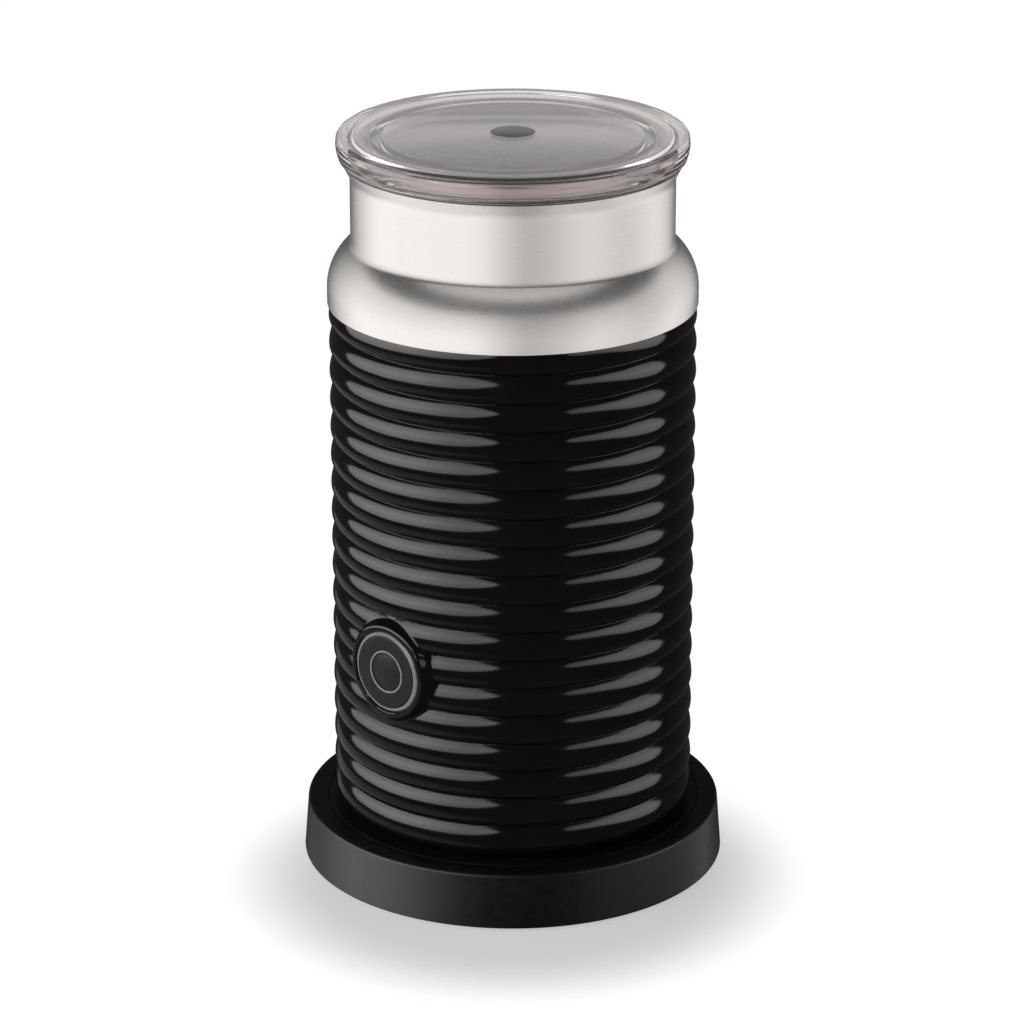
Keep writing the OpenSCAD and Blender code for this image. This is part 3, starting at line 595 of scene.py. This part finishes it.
def whisk_spring():
    """A coil whose axis is itself a ring."""
    count, path = COIL_TURNS * COIL_STEPS, []
    for i in range(count):
        a = 2 * math.pi * i / count
        b = a * COIL_TURNS
        r = COIL_R + COIL_TURN_R * math.cos(b)
        path.append((r * math.cos(a), r * math.sin(a), COIL_Z + COIL_TURN_R * math.sin(b)))
    return closed_wire("whisk_spring", path, COIL_WIRE_R)


dress(whisk_spring(), "whisk", "screw_steel", "whisk_coil")


# ---- floor, light and camera ----

CAMERA_AZ, CAMERA_EL, CAMERA_DISTANCE, CAMERA_LENS = 42.5, 20.05, 0.9876, 147.0
SOFTBOX_DISTANCE = 1.0
FLOOR_SIZE, FLOOR_LEVEL = 6000, -0.05           # half the floor's width, and its height, in millimetres
WARM_WHITE = (1, 0.985, 0.97, 1)


def toward(azimuth, elevation=0.0):
    """Unit vector to a direction, with the azimuth counted from the camera's side, to its right."""
    a, e = math.radians(CAMERA_AZ + azimuth), math.radians(elevation)
    return Vector((math.sin(a) * math.cos(e), -math.cos(a) * math.cos(e), math.sin(e)))


TARGET = Vector((0, 0, 0.0852)) + toward(-90) * 0.0002
# centre of the floor's painted shadow, 20 mm from the axis toward the camera
PAINTED_SHADOW_CENTRE = toward(0) * 0.02


def sheet_material(name):
    """A light that shines as strongly as its mesh's glow says, and that other light passes through."""
    mat = bpy.data.materials.new(name)
    mat.use_nodes = True
    nodes, link = mat.node_tree.nodes, mat.node_tree.links.new
    nodes.clear()
    level, shine = nodes.new("ShaderNodeAttribute"), nodes.new("ShaderNodeEmission")
    level.attribute_name = "glow"
    shine.inputs["Color"].default_value = WARM_WHITE
    both, out = nodes.new("ShaderNodeAddShader"), nodes.new("ShaderNodeOutputMaterial")
    link(level.outputs["Fac"], shine.inputs["Strength"])
    link(shine.outputs["Emission"], both.inputs[0])
    link(nodes.new("ShaderNodeBsdfTransparent").outputs["BSDF"], both.inputs[1])
    link(both.outputs["Shader"], out.inputs["Surface"])
    return mat


def staged_floor():
    """White glowing floor with a painted soft shadow: its glow dims near the base. The lamps also cast real
    shade on its diffuse part.
    """
    corners = [(x * FLOOR_SIZE, y * FLOOR_SIZE, FLOOR_LEVEL) for x, y in ((-1, -1), (1, -1), (1, 1), (-1, 1))]
    floor = mesh_object("floor", corners, [(0, 1, 2, 3)], smooth=False)
    mat = bpy.data.materials.new("floor")
    mat.use_nodes = True
    shader = mat.node_tree.nodes["Principled BSDF"]
    for key, value in (("Base Color", (0.3, 0.29, 0.29, 1)), ("Roughness", 1.0), ("Specular IOR Level", 0.0),
                       ("Emission Color", (1, 0.985, 0.985, 1))):
        shader.inputs[key].default_value = value
    nodes, link = mat.node_tree.nodes, mat.node_tree.links.new
    # painted shadow: the floor's glow is dimmed by distance from a fixed centre, not by any lamp
    offset, reach = nodes.new("ShaderNodeVectorMath"), nodes.new("ShaderNodeVectorMath")
    offset.operation, reach.operation = "SUBTRACT", "LENGTH"
    offset.inputs[1].default_value = PAINTED_SHADOW_CENTRE
    painted_shadow_fade = nodes.new("ShaderNodeMapRange")
    painted_shadow_fade.interpolation_type = "SMOOTHERSTEP"
    for key, value in (("From Min", 0.038), ("From Max", 0.082), ("To Min", 0.49), ("To Max", 1.0)):
        painted_shadow_fade.inputs[key].default_value = value
    link(nodes.new("ShaderNodeTexCoord").outputs["Object"], offset.inputs[0])
    link(offset.outputs["Vector"], reach.inputs[0])
    link(reach.outputs["Value"], painted_shadow_fade.inputs["Value"])
    link(painted_shadow_fade.outputs["Result"], shader.inputs["Emission Strength"])
    floor.data.materials.append(mat)
    floor.visible_glossy = False


def softbox(name, outline, only=(), never=(), rows=16):
    """A soft light as a curved sheet, brightest halfway up. The outline lists azimuth, lowest and highest
    elevation, and strength. It lights every piece, only some, or every piece but some."""
    verts, faces, glow = [], [], []
    azimuths = [o[0] for o in outline]
    cols = max(2, round((azimuths[-1] - azimuths[0]) / 2.5))
    for i in range(cols + 1):
        azimuth = azimuths[0] + (azimuths[-1] - azimuths[0]) * i / cols
        low, high, strength = (np.interp(azimuth, azimuths, [o[k] for o in outline]) for k in (1, 2, 3))
        for j in range(rows + 1):
            spot = TARGET + toward(azimuth, low + (high - low) * j / rows) * SOFTBOX_DISTANCE
            verts.append(tuple(spot / MM))
            glow.append(strength * (0.72 + 0.28 * math.exp(-((j / rows - 0.5) / 0.24) ** 2)))
    for i in range(cols):
        for j in range(rows):
            k = i * (rows + 1) + j
            faces.append((k, k + 1, k + rows + 2, k + rows + 1))
    mesh = bpy.data.meshes.new(name)
    mesh.from_pydata([(x * MM, y * MM, z * MM) for x, y, z in verts], [], faces)
    mesh.attributes.new("glow", "FLOAT", "POINT").data.foreach_set("value", glow)
    obj = bpy.data.objects.new(name, mesh)
    bpy.context.scene.collection.objects.link(obj)
    mesh.materials.append(sheet_material(name))
    obj.visible_camera = False
    obj.visible_shadow = False
    if only or never:
        lit = bpy.data.collections.new(name + "_lit")
        for piece in only or never:
            lit.objects.link(piece)
        for entry in lit.collection_objects:
            entry.light_linking.link_state = "INCLUDE" if only else "EXCLUDE"
        obj.light_linking.receiver_collection = lit


def band(low, high, *stops):
    """Outline of a softbox between two fixed elevations, from stops of azimuth and strength."""
    return [(azimuth, low, high, strength) for azimuth, strength in stops]


def light_and_camera():
    scene = bpy.context.scene
    scene.view_settings.view_transform = "Standard"
    world = bpy.data.worlds.new("studio")
    world.use_nodes = True
    world.node_tree.nodes["Background"].inputs["Color"].default_value = (1, 0.98, 0.98, 1)
    world.node_tree.nodes["Background"].inputs["Strength"].default_value = 0.05
    scene.world = world
    softbox("left_softbox", [(-122, 0, 2, 1.6), (-119, -5, 7, 1.8), (-112, -7, 12, 2.2), (-99, -6, 19, 3.2),
                             (-80, -4, 27, 4.2), (-60, 0, 34, 4.2), (-42, 3, 40, 3.1), (-29, 6, 40, 2.6),
                             (-21, 10, 37, 2.6), (-12, 17, 30, 2.5), (-9, 23, 24, 2.5)], never=[collar_piece])
    softbox("right_softbox", [(33, 19, 20, 1.4), (36, 14, 26, 1.4), (45, 12, 28, 1.6), (53, 10, 27, 1.9),
                              (62, 6, 27, 2.3), (73, -1, 25, 2.5), (85, -6, 25, 2.4), (97, -9, 20, 2.2),
                              (103, -6, 10, 1.9), (105, 0, 2, 1.8)], never=[collar_piece])
    softbox("left_fill", [(-150, -50, -14, 0.3), (-60, -50, -14, 0.3), (-15, -40, -22, 0.1)],
            never=[collar_piece])
    softbox("back_softbox", band(4, 38, (140, 0.9), (220, 0.9)),
            only=[lid_piece, seal_piece, disc_piece, vessel_piece])
    softbox("base_glow", band(-40, 4, (-125, 0.1), (-110, 0.8), (-95, 2.0), (-68, 2.1), (-48, 1.2), (-30, 0.2),
                              (-20, 0), (30, 0), (45, 0.35), (110, 0.35), (135, 0.8)), only=[base_piece])
    softbox("table_glow", band(-70, 32, (-180, 0.02), (-156, 0.1), (-136, 0.7), (-110, 1.35), (-24, 1.3),
                               (-10, 1.0), (7, 0.62), (24, 0.72), (51, 1.05), (86, 0.85), (118, 1.1),
                               (138, 0.8), (156, 0.1), (180, 0.02)), only=[collar_piece])
    softbox("shoulder_fill", band(32, 58, (-180, 0.03), (180, 0.03)), only=[collar_piece])
    softbox("top_glow", band(58, 90, (-180, 0.85), (180, 0.85)), only=[collar_piece])
    camera = bpy.data.cameras.new("camera")
    camera.lens = CAMERA_LENS
    camera.sensor_width = 36
    camera.clip_start, camera.clip_end = 0.05, 50
    obj = bpy.data.objects.new("camera", camera)
    obj.location = TARGET + toward(0, CAMERA_EL) * CAMERA_DISTANCE
    obj.rotation_euler = (TARGET - obj.location).to_track_quat("-Z", "Y").to_euler()
    scene.collection.objects.link(obj)
    scene.camera = obj


staged_floor()
light_and_camera()
